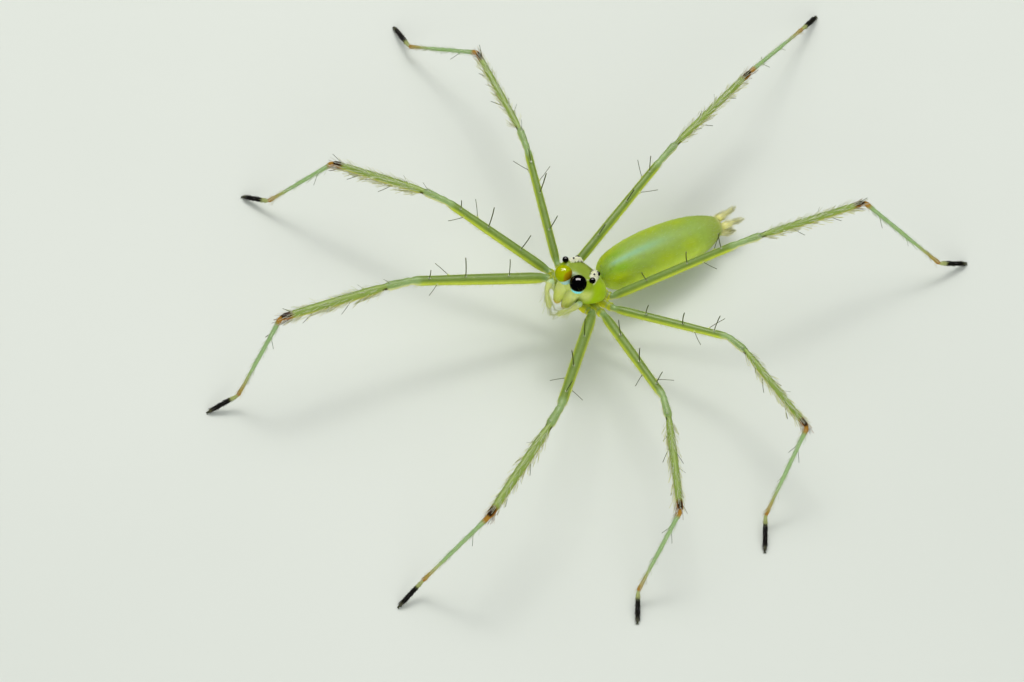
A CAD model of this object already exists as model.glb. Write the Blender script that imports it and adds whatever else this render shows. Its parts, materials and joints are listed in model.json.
# %% [markdown]
# # A tailed jumping spider at life size
# The real animal is about six millimetres long, pale green and glassy, with thin legs spread wide.
# The solids that carry it are packed already. This lesson dresses them: one skin for the flesh,
# eight eyes, and coats of spines, hairs and scales grown by Geometry Nodes.

import json
import math

import bmesh
import bpy
import numpy as np
from mathutils import Matrix, Vector
from mathutils.kdtree import KDTree

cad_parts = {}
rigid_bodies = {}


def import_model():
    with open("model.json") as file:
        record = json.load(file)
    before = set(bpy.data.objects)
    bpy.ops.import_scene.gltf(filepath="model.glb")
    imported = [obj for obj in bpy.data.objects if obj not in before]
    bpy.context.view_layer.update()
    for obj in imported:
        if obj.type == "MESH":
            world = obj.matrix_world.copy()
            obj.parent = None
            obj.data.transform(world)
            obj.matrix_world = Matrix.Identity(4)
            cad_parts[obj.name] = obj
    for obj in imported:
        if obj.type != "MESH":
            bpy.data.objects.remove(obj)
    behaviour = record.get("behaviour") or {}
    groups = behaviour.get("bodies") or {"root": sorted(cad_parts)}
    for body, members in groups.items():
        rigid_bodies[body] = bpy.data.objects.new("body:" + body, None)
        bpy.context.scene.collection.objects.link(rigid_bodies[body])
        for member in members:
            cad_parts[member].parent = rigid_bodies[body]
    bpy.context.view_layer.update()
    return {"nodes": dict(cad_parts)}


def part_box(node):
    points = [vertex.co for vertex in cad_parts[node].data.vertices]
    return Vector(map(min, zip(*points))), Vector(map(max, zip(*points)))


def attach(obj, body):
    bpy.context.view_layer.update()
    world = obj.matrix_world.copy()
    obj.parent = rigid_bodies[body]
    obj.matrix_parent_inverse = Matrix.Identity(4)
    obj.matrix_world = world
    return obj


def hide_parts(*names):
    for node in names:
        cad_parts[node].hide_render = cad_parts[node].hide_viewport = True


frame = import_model()

# %% [markdown]
# ## One set of measures
# A spider this small is easier to think of in millimetres, so every shape here is worked out in
# millimetres and turned into metres at the very end. The spider faces -Y and its left side is +X.
# A bearing is counted from straight ahead, positive to its left, and a pitch is counted up from level.

# %% Small helpers for measures
MM = 0.001
SIDES = {"left": 1.0, "right": -1.0}


def unit(v):
    v = np.asarray(v, float)
    return v / np.linalg.norm(v, axis=-1, keepdims=True)


def direction(bearing, pitch):
    turn = math.radians(bearing)
    rise = math.radians(pitch)
    return np.array([
        math.sin(turn) * math.cos(rise),
        -math.cos(turn) * math.cos(rise),
        math.sin(rise),
    ])


def ease(value, start, end):
    """0 before start and 1 after end, with a soft change between them."""
    t = np.clip((np.asarray(value, float) - start) / (end - start), 0.0, 1.0)
    return t * t * (3 - 2 * t)


def bell(value, middle, width):
    """1 in the middle, falling off softly to both sides."""
    return np.exp(-((value - middle) / width) ** 2)


def curve_through(stations, at):
    """Sizes at the places given, on a smooth curve through the stations."""
    table = np.array(stations, float)
    place = table[:, 0]
    at = np.clip(np.asarray(at, float), place[0], place[-1])
    slopes = np.gradient(table[:, 1:], place, axis=0)
    i = np.clip(np.searchsorted(place, at, side="right") - 1, 0, len(place) - 2)
    span = (place[i + 1] - place[i])
    t = ((at - place[i]) / span)[:, None]
    h = span[:, None]
    here = table[i, 1:]
    there = table[i + 1, 1:]
    value = here * (2 * t**3 - 3 * t**2 + 1) + there * (3 * t**2 - 2 * t**3)
    return value + slopes[i] * h * (t**3 - 2 * t**2 + t) + slopes[i + 1] * h * (t**3 - t**2)


def ink(red, green, blue):
    """A colour given as a painter mixes it on screen, 0 to 255, in the light's own measure."""
    c = np.array([red, green, blue], float) / 255
    return np.where(c <= 0.04045, c / 12.92, ((c + 0.055) / 1.055) ** 2.4)


def mix(below, above, share):
    """A share of one colour laid over another, at every place that the share has."""
    share = np.asarray(share, float)[..., None]
    return below * (1 - share) + above * share


def opaque(tints):
    """Colours with a full fourth channel, in one row of numbers as Blender takes them."""
    return np.c_[tints, np.ones(len(tints))].ravel()


def new_object(name, data):
    """A new object in the scene, which shows the mesh, lamp or camera given."""
    obj = bpy.data.objects.new(name, data)
    bpy.context.scene.collection.objects.link(obj)
    return obj


def evaluated_mesh(obj):
    """The mesh that an object has after its modifiers."""
    graph = bpy.context.evaluated_depsgraph_get()
    return bpy.data.meshes.new_from_object(obj.evaluated_get(graph), depsgraph=graph)


def keep_at_points(mesh, label, kind, values):
    """Keeps one fact at each point of a mesh."""
    field = {"FLOAT": "value", "FLOAT_VECTOR": "vector", "FLOAT_COLOR": "color"}[kind]
    mesh.attributes.new(label, kind, "POINT").data.foreach_set(field, values)


print("a level step ahead and to the left:", direction(45, 0).round(2))

# %% [markdown]
# ## Where the body stands
# The head-and-chest is held nose up, so its shape is worked out in a frame of its own and then
# turned. The solids stand with the middle of their footprint on the origin, so the place of the
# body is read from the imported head-and-chest, not typed in.

# %% The body's own frame
CHEST_HEIGHT = 1.35
CHEST_PITCH = math.radians(31)
CHEST_TURN = np.array([
    [1, 0, 0],
    [0, math.cos(CHEST_PITCH), math.sin(CHEST_PITCH)],
    [0, -math.sin(CHEST_PITCH), math.cos(CHEST_PITCH)],
])
CHEST_SECTIONS = (
    (-1.00, 0.20, 0.74, 0.54),
    (-0.95, 0.35, 0.81, 0.44),
    (-0.85, 0.46, 0.87, 0.29),
    (-0.70, 0.53, 0.90, 0.06),
    (-0.50, 0.58, 0.89, -0.11),
    (-0.25, 0.60, 0.79, -0.17),
    (0.00, 0.59, 0.62, -0.18),
    (0.25, 0.51, 0.43, -0.18),
    (0.45, 0.37, 0.27, -0.14),
    (0.60, 0.20, 0.15, -0.08),
    (0.66, 0.10, 0.09, -0.03),
)
CHEST_WIDEST_AT = 0.38
CHEST_TOP_FULLNESS = 2.5
CHEST_UNDER_TAPER = 0.35


def from_chest(points, mirror=1.0):
    """Points of the chest's frame, mirrored or not, set in the row frame before the shift."""
    points = np.asarray(points, float) * np.array([mirror, 1.0, 1.0])
    return points @ CHEST_TURN.T + np.array([0, 0, CHEST_HEIGHT])


def footprint_shift():
    """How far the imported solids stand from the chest-centred measures used here."""
    low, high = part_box("carapace")
    front = from_chest([[0, y, z] for y, _, top, under in CHEST_SECTIONS for z in (top, under)])
    x = (low.x + high.x) / 2 / MM
    y = low.y / MM - front[:, 1].min()
    return np.array([x, y, 0.0])


SHIFT = footprint_shift()


def in_metres(points):
    """Points in mm of the row frame, at the body's place and in metres."""
    return (np.asarray(points, float) + SHIFT) * MM


print("shift of the body in mm:", SHIFT.round(3))

# %% [markdown]
# ## Lofts
# Almost every part of a spider is a tube whose thickness changes: a leg, a jaw, the abdomen. So one
# helper turns a stack of rings into a closed surface, and keeps three facts at every point: its
# colour, its dullness, and its place on an unwrap in which each part has a rectangle of its own. The
# coats use that place later, so that a hair and the skin under it share one spot of the map.

# %% Rings into closed surfaces
class Loft:
    """A closed surface through rings of points, with a colour and a map place at each point."""

    def __init__(self, name, rings, tints, patch, rough):
        self.name = name
        self.rings = np.asarray(rings, float)
        self.tints = np.asarray(tints, float)
        self.patch = patch
        self.rough = rough
        self.count, self.sides = self.rings.shape[:2]

    def map_place(self, ring, side):
        """The map place of a ring and side, which may lie between two of either."""
        left, low, wide, high = self.patch
        u = left + wide * np.asarray(ring, float) / (self.count - 1)
        v = low + high * np.asarray(side, float) / self.sides
        return np.stack([u, v], axis=-1)

    def at(self, ring, side):
        """The point, outward direction and colour at places that may lie between rings and sides."""
        ring = np.clip(np.asarray(ring, float), 0, self.count - 1.001)
        side = np.asarray(side, float) % self.sides
        r0 = np.floor(ring).astype(int)
        s0 = np.floor(side).astype(int)
        r1 = r0 + 1
        s1 = (s0 + 1) % self.sides
        fr = (ring - r0)[:, None]
        fs = (side - s0)[:, None]

        def blend(field):
            near = field[r0, s0] * (1 - fs) + field[r0, s1] * fs
            far = field[r1, s0] * (1 - fs) + field[r1, s1] * fs
            return near * (1 - fr) + far * fr

        along = unit(self.rings[r1, s0] - self.rings[r0, s0] + 1e-9)
        around = unit(self.rings[r0, s1] - self.rings[r0, s0] + 1e-9)
        outward = unit(np.cross(around, along) + 1e-9)
        centre = self.rings[r0].mean(axis=1)
        flip = np.sign(((self.rings[r0, s0] - centre) * outward).sum(axis=1))[:, None]
        return blend(self.rings), outward * np.where(flip == 0, 1, flip), along, blend(self.tints)

    def object(self):
        """The loft as a Blender mesh object in metres, at the body's place."""
        n = self.sides
        ends = [self.rings[0].mean(axis=0), self.rings[-1].mean(axis=0)]
        first_end = self.count * n
        points = in_metres(np.vstack([self.rings.reshape(-1, 3), ends]))
        faces = []
        maps = []
        for i in range(self.count - 1):
            for k in range(n):
                after = (k + 1) % n
                faces.append((i * n + k, i * n + after, (i + 1) * n + after, (i + 1) * n + k))
                maps += [(i, k), (i, k + 1), (i + 1, k + 1), (i + 1, k)]
        last = (self.count - 1) * n
        for k in range(n):
            after = (k + 1) % n
            faces.append((after, k, first_end))
            maps += [(0, k + 1), (0, k), (0, k + 0.5)]
            faces.append((last + k, last + after, first_end + 1))
            maps += [(self.count - 1, k), (self.count - 1, k + 1), (self.count - 1, k + 0.5)]
        mesh = bpy.data.meshes.new(self.name)
        mesh.from_pydata(points.tolist(), [], faces)
        places = np.array(maps, float)
        layer = mesh.uv_layers.new(name="OFBake")
        layer.data.foreach_set("uv", self.map_place(places[:, 0], places[:, 1]).ravel())
        tints = np.vstack([
            self.tints.reshape(-1, 3),
            self.tints[0].mean(axis=0)[None],
            self.tints[-1].mean(axis=0)[None],
        ])
        colour = mesh.color_attributes.new("tint", "FLOAT_COLOR", "POINT")
        colour.data.foreach_set("color", opaque(tints))
        keep_at_points(mesh, "dullness", "FLOAT", np.full(len(points), self.rough))
        bm = bmesh.new()
        bm.from_mesh(mesh)
        bmesh.ops.recalc_face_normals(bm, faces=bm.faces)
        bm.to_mesh(mesh)
        bm.free()
        return new_object(self.name, mesh)


LOFTS = {}
print("lofts keep a colour and a map place at every point")

# %% [markdown]
# ## Head and chest
# The head is a high lime-green dome, olive between the eyes and brighter on its flanks. The face
# below the great eyes is pale and milky. Two raised cream pads run back from the side eyes. The
# colours are laid on by place on the body, softly, as they lie in the real skin.

# %% Build the head and chest
LIME = ink(158, 186, 36)
DEEP_LIME = ink(178, 214, 0)
OLIVE = ink(150, 172, 62)
DARK_OLIVE = ink(136, 146, 48)
MILK = ink(210, 222, 122)
UNDER_GREEN = ink(160, 180, 60)
PALE_GLINT = ink(164, 190, 156)
YOLK = ink(226, 224, 30)
RIDGE_CREAM = ink(250, 250, 212)
SOOT = ink(30, 28, 16)

RIDGE_FRONT = np.array([0.37, -0.76])
RIDGE_BACK = np.array([0.25, -0.34])
RIDGE_HEIGHT = 0.08
RIDGE_SPREAD = 0.08
CHEST_RINGS = 110
CHEST_SIDES = 96
CHEST_PATCH = (0.02, 0.02, 0.40, 0.18)
CHEST_DULLNESS = 0.30
CHEST_ROUNDED_ENDS = 0.22
SKIN_DEPTH = 0.012


def ridge_share(x, y):
    """How near a place on the head is to the middle of an eye ridge, from 0 to 1."""
    point = np.stack([np.abs(x), y], axis=-1)
    run = RIDGE_BACK - RIDGE_FRONT
    share = np.clip(((point - RIDGE_FRONT) @ run) / (run @ run), 0, 1)
    nearest = RIDGE_FRONT + share[..., None] * run
    off = np.linalg.norm(point - nearest, axis=-1) / RIDGE_SPREAD
    return np.exp(-off * off)


def chest_tint(x, y, z):
    """Colour by place on the chest, in the chest's own frame."""
    side = np.abs(x)
    flank = ease(side, 0.34, 0.50) * ease(y, -0.80, -0.50) * ease(y, 0.35, 0.0)
    colour = mix(LIME, DEEP_LIME, flank * 0.95)
    brow = ease(side, 0.36, 0.22) * ease(y, 0.0, -0.40) * ease(z, 0.45, 0.70)
    colour = mix(colour, OLIVE, brow * 0.9)
    shade = np.sqrt((side - 0.10) ** 2 + (y + 0.42) ** 2)
    colour = mix(colour, DARK_OLIVE, ease(shade, 0.14, 0.02) * (z > 0.3) * 0.7)
    face = ease(z, 0.70, 0.52) * ease(y, -0.56, -0.82)
    colour = mix(colour, MILK, face)
    colour = mix(colour, UNDER_GREEN, ease(z, 0.02, -0.12) * ease(y, -0.80, -0.62))
    between = np.sqrt(x**2 + (y + 0.93) ** 2)
    colour = mix(colour, PALE_GLINT, ease(between, 0.10, 0.03) * ease(z, 0.70, 0.80) * 0.6)
    notch = np.sqrt((x + 0.01) ** 2 + (y + 0.985) ** 2 + (z - 0.655) ** 2)
    colour = mix(colour, SOOT, ease(notch, 0.060, 0.035))
    edge = ridge_share(x, y)
    rim = ease(edge, 0.07, 0.13) * ease(edge, 0.28, 0.19)
    rim = rim * ease(side, 0.33, 0.25) * ease(y, -0.70, -0.58)
    colour = mix(colour, SOOT, rim * (z > 0.3) * 0.85)
    pad = ease(edge, 0.18, 0.32) * ease(y, -0.74, -0.68) * ease(z, 0.74, 0.79)
    return mix(colour, RIDGE_CREAM, pad)


def build_chest():
    table = np.array(CHEST_SECTIONS)
    middle = (table[0, 0] + table[-1, 0]) / 2
    half_length = (table[-1, 0] - table[0, 0]) / 2 - SKIN_DEPTH
    steps = np.linspace(0, math.pi, CHEST_RINGS)
    places = middle - half_length * np.cos(steps)
    half, top, under = curve_through(CHEST_SECTIONS, places).T
    half = half - SKIN_DEPTH
    top = top - SKIN_DEPTH
    under = under + SKIN_DEPTH
    rounded = np.minimum(steps, math.pi - steps) / CHEST_ROUNDED_ENDS
    close = np.sqrt(np.clip(1 - (1 - np.clip(rounded, 0, 1)) ** 2, 0, 1))
    core = (top + under) / 2
    half = half * close
    top = core + (top - core) * close
    under = core + (under - core) * close
    widest = under + CHEST_WIDEST_AT * (top - under)
    turn = 2 * math.pi * np.arange(CHEST_SIDES) / CHEST_SIDES
    across = np.cos(turn)[None, :]
    up = np.sin(turn)[None, :]
    power = 2.0 / CHEST_TOP_FULLNESS
    x_top = half[:, None] * np.sign(across) * np.abs(across) ** power
    x_low = half[:, None] * across * (1.0 + CHEST_UNDER_TAPER * up)
    x = np.where(up >= 0, x_top, x_low)
    y = np.broadcast_to(places[:, None], x.shape)
    z_top = widest[:, None] + (top - widest)[:, None] * np.clip(up, 0, 1) ** power
    z_top = z_top + RIDGE_HEIGHT * ridge_share(x, y) * close[:, None]
    z_low = widest[:, None] + (widest - under)[:, None] * up
    z = np.where(up >= 0, z_top, z_low)
    rings = from_chest(np.stack([x, y, z], axis=-1))
    return Loft("chest", rings, chest_tint(x, y, z), CHEST_PATCH, CHEST_DULLNESS)


LOFTS["chest"] = build_chest()
print("head and chest:", LOFTS["chest"].count, "rings of", LOFTS["chest"].sides)

# %% [markdown]
# ## Abdomen
# A long smooth oval, full in front and drawn out behind, glassy enough that a pale mint streak,
# the heart, shows along the middle of its back. Cosine steps put more rings at both ends, where the
# surface turns most, so the ends close round.

# %% Build the abdomen
ABDOMEN_START = np.array([-0.01, 0.71, 0.95])
ABDOMEN_AXIS = direction(180 - 18, -6.5)
ABDOMEN_SIDE = unit(np.array([ABDOMEN_AXIS[1], -ABDOMEN_AXIS[0], 0.0]))
ABDOMEN_UP = np.cross(ABDOMEN_SIDE, ABDOMEN_AXIS)
ABDOMEN_LENGTH = 3.30
ABDOMEN_INSET = 0.012
# Step from 0 to 1 along the axis in cosine measure, half width and half height
ABDOMEN_PROFILE = (
    (0.000, 0.000, 0.000),
    (0.040, 0.125, 0.115),
    (0.093, 0.250, 0.232),
    (0.177, 0.400, 0.370),
    (0.281, 0.508, 0.448),
    (0.393, 0.578, 0.488),
    (0.510, 0.588, 0.488),
    (0.629, 0.535, 0.446),
    (0.745, 0.418, 0.360),
    (0.842, 0.285, 0.258),
    (0.921, 0.175, 0.165),
    (0.965, 0.092, 0.088),
    (1.000, 0.000, 0.000),
)
ABDOMEN_RINGS = 120
ABDOMEN_SIDES = 84
ABDOMEN_PATCH = (0.44, 0.02, 0.54, 0.18)
ABDOMEN_DULLNESS = 0.46
ABDOMEN_GREEN = ink(156, 184, 78)
ABDOMEN_SUN = ink(180, 200, 14)
ABDOMEN_DEEP_GREEN = ink(134, 178, 16)
ABDOMEN_MINT = ink(140, 190, 134)
ABDOMEN_FLANK = ink(208, 230, 84)
ABDOMEN_TAIL = ink(160, 178, 74)
ABDOMEN_TIP = ink(208, 210, 132)
ABDOMEN_RIM = ink(166, 190, 92)
ABDOMEN_BELLY = ink(176, 196, 70)
# Colour, place along in mm, turn from the middle of the back in degrees, length, width, strength
ABDOMEN_BLOTS = (
    (ABDOMEN_SUN, 0.28, 52, 0.34, 26, 1.0),
    (ABDOMEN_DEEP_GREEN, 0.42, 20, 0.26, 15, 0.9),
    (ABDOMEN_SUN, 1.50, 42, 0.34, 16, 0.65),
    (ABDOMEN_SUN, 2.20, 36, 0.28, 18, 0.6),
    (ABDOMEN_SUN, 0.95, 60, 0.24, 14, 0.4),
)


def blot(share, turn, at, around, long, wide):
    """A soft spot on the abdomen, round a place along it and a turn from the middle of its back."""
    off = (np.asarray(turn) - math.radians(around) + math.pi) % (2 * math.pi) - math.pi
    return np.exp(-((share - at) / long) ** 2 - (off / math.radians(wide)) ** 2)


def abdomen_tint(share, turn):
    """Colour by place along the abdomen, in mm, and by the turn from the middle of its back."""
    back = np.cos(turn)
    colour = mix(ABDOMEN_GREEN, ABDOMEN_FLANK, ease(back, 0.85, 0.35) * ease(share, 3.0, 2.2) * 0.8)
    colour = mix(colour, ABDOMEN_RIM, ease(back, 0.45, 0.0) * ease(share, 0.8, 1.4) * 0.6)
    for mirror in SIDES.values():
        for tone, at, around, long, wide, strength in ABDOMEN_BLOTS:
            spot = blot(share, turn, at, around * mirror, long, wide)
            colour = mix(colour, tone, spot * strength)
    width = 0.10 + 0.06 * share
    streak = np.exp(-(np.sin(turn) / width) ** 2) * (back > 0) * ease(share, 0.12, 0.34)
    fade = 0.95 * ease(share, 2.1, 0.9) + 0.05
    colour = mix(colour, ABDOMEN_MINT, streak * fade)
    colour = mix(colour, ABDOMEN_TAIL, ease(share, 2.45, 3.1) * 0.8)
    colour = mix(colour, ABDOMEN_TIP, ease(share, 3.10, 3.24) * 0.85)
    return mix(colour, ABDOMEN_BELLY, ease(back, -0.3, -0.8) * 0.7)


def build_abdomen():
    steps = np.linspace(0, 1, ABDOMEN_RINGS)
    steps = steps * 0.998 + 0.001
    half = ABDOMEN_LENGTH / 2 - ABDOMEN_INSET
    along = ABDOMEN_LENGTH / 2 - half * np.cos(math.pi * steps)
    wide, high = curve_through(ABDOMEN_PROFILE, steps).T
    turn = 2 * math.pi * np.arange(ABDOMEN_SIDES) / ABDOMEN_SIDES
    centre = ABDOMEN_START + along[:, None] * ABDOMEN_AXIS
    ring = (
        centre[:, None, :]
        + wide[:, None, None] * np.sin(turn)[None, :, None] * ABDOMEN_SIDE
        + high[:, None, None] * np.cos(turn)[None, :, None] * ABDOMEN_UP
    )
    share = np.broadcast_to(along[:, None], ring.shape[:2])
    turns = np.broadcast_to(turn[None, :], ring.shape[:2])
    return Loft("abdomen", ring, abdomen_tint(share, turns), ABDOMEN_PATCH, ABDOMEN_DULLNESS)


LOFTS["abdomen"] = build_abdomen()
print("abdomen length in mm:", ABDOMEN_LENGTH)

# %% [markdown]
# ## Limbs
# A leg is one bent tube from its root under the chest to the toe. Its corners are softened by a
# small running average, since a real joint is a smooth fold of skin. Rings follow the world's up,
# so the clear band along the top of a leg stays on top. Jaws, feelers and spinnerets are the same
# tube with other sizes.

# %% A tube along a bent path
TUBE_STEP = 0.04
CORNER_SOFTNESS = 0.05
TUBE_DULLNESS = 0.33
SHORT_PIECE_RINGS = 30


def dense_path(points, step):
    """Points along a bent path, with the number of the section and the share of it at each."""
    places = []
    sections = []
    shares = []
    for i, (a, b) in enumerate(zip(points, points[1:])):
        length = np.linalg.norm(b - a)
        count = max(int(round(length / step)), int(SHORT_PIECE_RINGS / (1 + length)), 3)
        last = i == len(points) - 2
        for k in range(count + (1 if last else 0)):
            share = k / count
            places.append(a + (b - a) * share)
            sections.append(i)
            shares.append(share)
    return np.array(places), np.array(sections), np.array(shares)


def soften(places, reach, step):
    """Rounds the corners of a dense path with a short bell-shaped average."""
    spread = max(int(3 * reach / step), 1)
    offsets = np.arange(-spread, spread + 1) * step
    weights = np.exp(-0.5 * (offsets / reach) ** 2)
    weights /= weights.sum()
    start = 2 * places[0] - places[1:spread + 1][::-1]
    end = 2 * places[-1] - places[-spread - 1:-1][::-1]
    padded = np.vstack([start, places, end])
    return np.stack([np.convolve(padded[:, c], weights, mode="valid") for c in range(3)], axis=1)


def section_radii(tables, sections, shares):
    """Radii at places on a path, from one table of stations for each section."""
    radius = np.zeros(len(shares))
    for i, table in enumerate(tables):
        here = sections == i
        radius[here] = curve_through(table, shares[here])[:, 0]
    return radius


def add_tube(name, points, tables, tint, patch, sides, step=TUBE_STEP, softness=CORNER_SOFTNESS):
    """Adds a closed tube to the lofts, with one table of radii for each section of its path.

    tint(section, share, turn) gives the colour and works on arrays.
    """
    places, sections, shares = dense_path(points, step)
    smooth = soften(places, softness, step) if softness else places
    along = unit(np.gradient(smooth, axis=0))
    up = unit(np.array([0, 0, 1.0]) - along * along[:, 2:3])
    across = np.cross(along, up)
    turn = 2 * math.pi * np.arange(sides) / sides
    radius = section_radii(tables, sections, shares)
    ring = (
        smooth[:, None, :]
        + radius[:, None, None] * np.cos(turn)[None, :, None] * up[:, None, :]
        + radius[:, None, None] * np.sin(turn)[None, :, None] * across[:, None, :]
    )
    shape = ring.shape[:2]
    colours = tint(
        np.broadcast_to(sections[:, None], shape),
        np.broadcast_to(shares[:, None], shape),
        np.broadcast_to(turn[None, :], shape),
    )
    made = Loft(name, ring, colours, patch, TUBE_DULLNESS)
    made.sections = sections
    made.radius = radius
    LOFTS[name] = made


print("tube rings every", TUBE_STEP, "mm")

# %% [markdown]
# ## Legs
# The thigh looks like a clear tube with a grey-green core, a paler band along its top and yellow
# edges. The knee is the palest piece, the shin ends in a rust and brown mark, the ankle is pale mint
# and the foot is black but for its root and toe. The joints narrow, as real ones do.

# %% Leg measures and markings
HIP_ENDS = ((0.67, -0.50, 0.01), (0.81, -0.18, -0.03), (0.82, 0.20, 0.01), (0.56, 0.54, 0.01))
HIP_ROOT_SHARE = np.array([0.42, 0.82, 1.0])
HIP_ROOT_DROP = 0.05
SECTION_LENGTHS = (
    (3.20, 0.62, 2.50, 2.45, 0.77),
    (2.75, 0.57, 2.20, 2.15, 0.68),
    (2.75, 0.53, 2.25, 2.25, 0.78),
    (3.15, 0.56, 2.65, 2.80, 0.80),
)
LEG_POSES = {
    "left_1": ((25, 14, 9, -25, -6), (19, 6, -7, -28)),
    "left_2": ((68, 52, 47, 7, 41), (14, 4, -5, -23)),
    "left_3": ((109, 86, 77, 12, 41), (14, 6, -2, -21)),
    "left_4": ((143, 151, 156, 120, 150), (30, 8, -7, -28)),
    "right_1": ((-38, -29, -27, -5, -27), (13, 7, 3, -25)),
    "right_2": ((-76, -73, -72, -46, -73), (19, 3, -9, -24)),
    "right_3": ((-124, -120, -115, -83, -113), (13, 4, -4, -20)),
    "right_4": ((-178, -179, -180, -174, -173), (14, 6, -2, -29)),
}
TOE_HEIGHT = 0.05
HIP, THIGH, KNEE, SHIN, ANKLE, FOOT = range(6)
# Share of the section and radius, for a front leg
LEG_RADII = (
    ((0.0, 0.115), (0.30, 0.125), (0.52, 0.122), (0.62, 0.112), (0.68, 0.086), (0.74, 0.104),
     (0.84, 0.112), (0.94, 0.104), (1.0, 0.084)),
    ((0.0, 0.086), (0.02, 0.100), (0.06, 0.116), (0.25, 0.124), (0.60, 0.120), (0.85, 0.110),
     (0.93, 0.112), (0.97, 0.106), (1.0, 0.080)),
    ((0.0, 0.080), (0.15, 0.096), (0.30, 0.090), (0.60, 0.102), (0.88, 0.100), (1.0, 0.076)),
    ((0.0, 0.072), (0.04, 0.084), (0.30, 0.100), (0.60, 0.098), (0.90, 0.084), (0.97, 0.078),
     (1.0, 0.056)),
    ((0.0, 0.050), (0.03, 0.060), (0.10, 0.052), (0.50, 0.046), (0.93, 0.044), (0.97, 0.050),
     (1.0, 0.038)),
    ((0.0, 0.036), (0.15, 0.044), (0.50, 0.050), (0.85, 0.047), (0.95, 0.044), (0.985, 0.034),
     (1.0, 0.012)),
)
# How stout each pair is from hip to shin, against the front pair, in order from hip to foot
PAIR_STOUTNESS = (
    (1.00, 1.00, 1.00, 1.00, 1.00, 1.00),
    (0.96, 0.86, 0.88, 0.86, 1.00, 1.00),
    (0.94, 0.76, 0.82, 0.76, 0.98, 1.00),
    (0.94, 0.82, 0.84, 0.80, 0.98, 1.00),
)
LEG_SIDES = 20

CORE_GREEN = ink(124, 148, 66)
CORE_LINE = ink(108, 134, 36)
CORE_CLEAR = ink(164, 182, 128)
EDGE_YELLOW = ink(200, 214, 76)
LEG_UNDER = ink(186, 202, 52)
JOINT_GLASS = ink(148, 174, 112)
JOINT_CREAM = ink(220, 222, 158)
SHIN_CORE = ink(146, 168, 84)
SHIN_EDGE = ink(204, 204, 100)
ANKLE_MINT = ink(154, 184, 128)
RUST = ink(158, 96, 26)
BROWN = ink(48, 32, 14)
OCHRE = ink(172, 128, 50)
FOOT_PALE = ink(164, 172, 112)
FOOT_BLACK = ink(20, 19, 17)
FOOT_TIP = ink(92, 92, 74)


def leg_tint(section, share, turn):
    """The colour of a leg by its section, the share along it and the turn from its top."""
    top = np.cos(turn)
    beside = np.abs(np.sin(turn))
    core = ease(top, 0.36, 0.84)
    muscle = mix(mix(LEG_UNDER, EDGE_YELLOW, ease(top, -0.75, -0.15)), CORE_GREEN, core)
    muscle = mix(muscle, CORE_LINE, bell(top, 0.74, 0.07) * 0.35)
    muscle = mix(muscle, CORE_CLEAR, bell(beside, 0.10, 0.16) * (top > 0) * 0.45)
    glass = mix(JOINT_CREAM, JOINT_GLASS, ease(top, 0.15, 0.55))
    hip = mix(muscle, YOLK, ease(share, 0.98, 0.80) * (0.25 + 0.55 * beside))
    hip = mix(hip, glass, (bell(share, 0.70, 0.05) + ease(share, 0.88, 0.96)) * 0.8)
    thigh = mix(muscle, glass, ease(share, 0.07, 0.01) * 0.9 + ease(share, 0.92, 0.97) * 0.9)
    knee = mix(glass, CORE_GREEN, core * 0.25 * ease(share, 0.2, 0.5))
    knee = mix(knee, BROWN, ease(share, 0.93, 0.99) * ease(beside, 0.55, 0.85) * 0.9)
    shin = mix(SHIN_EDGE, SHIN_CORE, ease(top, 0.10, 0.45))
    shin = mix(shin, CORE_LINE, bell(top, 0.25, 0.12) * 0.35)
    shin = mix(shin, BROWN, ease(share, 0.045, 0.02) * ease(beside, 0.6, 0.9) * 0.9)
    shin = mix(shin, RUST, ease(share, 0.875, 0.925) * 0.9)
    saddle = np.maximum(ease(top, 0.45, 0.8), ease(top, -0.3, -0.7))
    shin = mix(shin, BROWN, ease(share, 0.88, 0.93) * saddle)
    ankle = mix(ANKLE_MINT, CORE_LINE, bell(top, 0.2, 0.2) * 0.25)
    ankle = mix(ankle, OCHRE, ease(share, 0.09, 0.03) + ease(share, 0.62, 1.0) * 0.8)
    ankle = mix(ankle, RUST, ease(share, 0.95, 0.98) * 0.7)
    foot = mix(FOOT_PALE, FOOT_BLACK, ease(share, 0.20, 0.28))
    foot = mix(foot, FOOT_TIP, ease(share, 0.82, 0.92) * 0.8)
    pieces = np.stack([hip, thigh, knee, shin, ankle, foot])
    return np.take_along_axis(pieces, section[None, ..., None], axis=0)[0]


def leg_joints(name):
    """The joints of one leg from its root under the chest to the toe."""
    side, pair = name.split("_")
    bearings, pitches = LEG_POSES[name]
    lengths = SECTION_LENGTHS[int(pair) - 1]
    hip_end = np.array(HIP_ENDS[int(pair) - 1])
    root = hip_end * HIP_ROOT_SHARE - np.array([0, 0, HIP_ROOT_DROP])
    joints = [from_chest(hip_end, SIDES[side])]
    for k in range(3):
        joints.append(joints[-1] + direction(bearings[k], pitches[k]) * lengths[k])
    foot = direction(bearings[4], pitches[3]) * lengths[4]
    drop = TOE_HEIGHT - foot[2] - joints[-1][2]
    pitch = math.degrees(math.asin(drop / lengths[3]))
    joints.append(joints[-1] + direction(bearings[3], pitch) * lengths[3])
    joints.append(joints[-1] + foot)
    return [from_chest(root, SIDES[side])] + joints


def stout(tables, shares):
    """The tables of a front leg made thinner or thicker, section by section."""
    return tuple(tuple((at, radius * k) for at, radius in table) for table, k in zip(tables, shares))


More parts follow.
